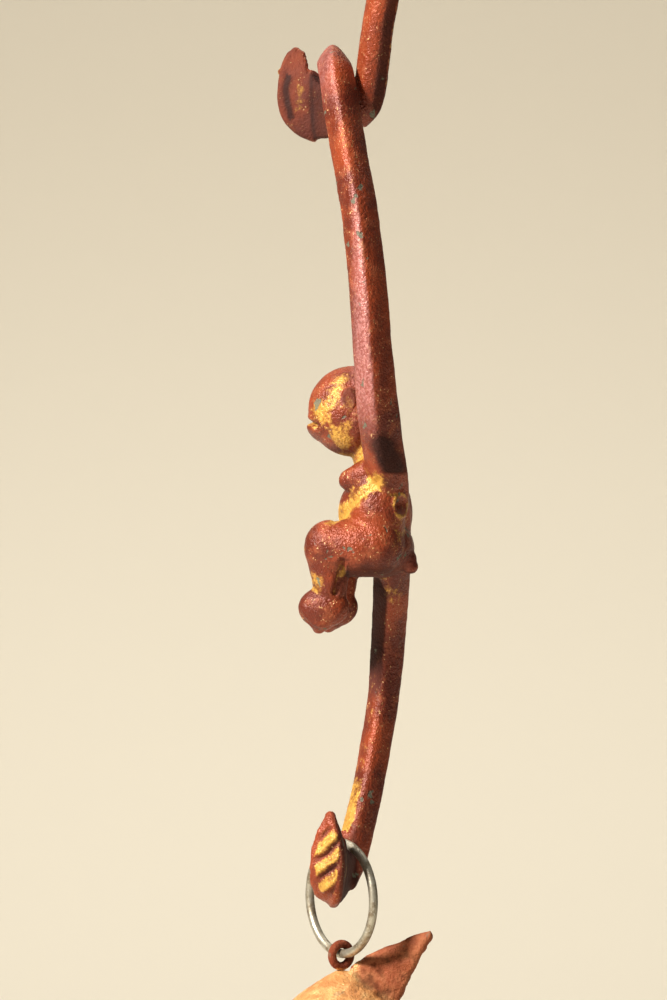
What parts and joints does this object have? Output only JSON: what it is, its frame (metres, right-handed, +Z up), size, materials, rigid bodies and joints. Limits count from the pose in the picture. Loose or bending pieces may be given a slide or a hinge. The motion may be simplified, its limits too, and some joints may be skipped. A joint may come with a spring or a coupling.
{
  "type": "wind chime",
  "caption": "Hanging wind chime: linked vine castings with seated monkeys, a cast bell with a leaf on its crown, a clapper and a wind leaf.",
  "frame": {"origin": "inside top of the hanging ring, where a hook holds the chime", "axes": "+Z up along the hanging chain, +X along the plane of the lower link's S-shaped vine, -Y the way the lower monkey faces"},
  "size_m": [0.046, 0.046, 0.3503],
  "materials": {
    "casting": "red-brown copper paint with gold in the hollows, semi-gloss",
    "steel_wire": "dull bare steel wire"
  },
  "bodies": {
    "hanger": {"hanging_ring": "steel_wire"},
    "upper_link": {"upper_monkey_link": "casting"},
    "lower_link": {"lower_monkey_link": "casting"},
    "ring": {"bell_ring": "steel_wire"},
    "bell_body": {"bell": "casting", "clapper_staple": "steel_wire"},
    "clapper": {"clapper_wire": "steel_wire", "clapper_ball": "casting"},
    "wind_ring": {"wind_leaf_ring": "steel_wire"},
    "wind_catcher": {"wind_leaf": "casting"}
  },
  "joints": [
    {"name": "upper_link_swing", "type": "hinge", "parent": "hanger", "child": "upper_link", "pos_m": [0, 0, -0.01483], "axis": [0.9397, -0.342, 0], "range_deg": [-25, 25]},
    {"name": "lower_link_swing", "type": "hinge", "parent": "upper_link", "child": "lower_link", "pos_m": [0.00007, 0.00019, -0.12288], "axis": [-0.342, -0.9397, 0], "range_deg": [-15, 15]},
    {"name": "bell_ring_swing", "type": "hinge", "parent": "lower_link", "child": "ring", "pos_m": [-0.00013, 0.00019, -0.22998], "axis": [1, 0, 0], "range_deg": [-25, 25]},
    {"name": "bell_swing", "type": "hinge", "parent": "ring", "child": "bell_body", "pos_m": [-0.00013, 0.00019, -0.24329], "axis": [0.7071, 0.7071, 0], "range_deg": [-25, 25]},
    {"name": "clapper_swing", "type": "hinge", "parent": "bell_body", "child": "clapper", "pos_m": [-0.00013, 0.00019, -0.25096], "axis": [1, 0, 0], "range_deg": [-18, 18]},
    {"name": "wind_ring_swing", "type": "hinge", "parent": "clapper", "child": "wind_ring", "pos_m": [-0.00013, 0.00019, -0.29571], "axis": [0, 1, 0], "range_deg": [-30, 30]},
    {"name": "wind_leaf_swing", "type": "hinge", "parent": "wind_ring", "child": "wind_catcher", "pos_m": [-0.00013, 0.00019, -0.30129], "axis": [1, 0, 0], "range_deg": [-35, 35]}
  ]
}
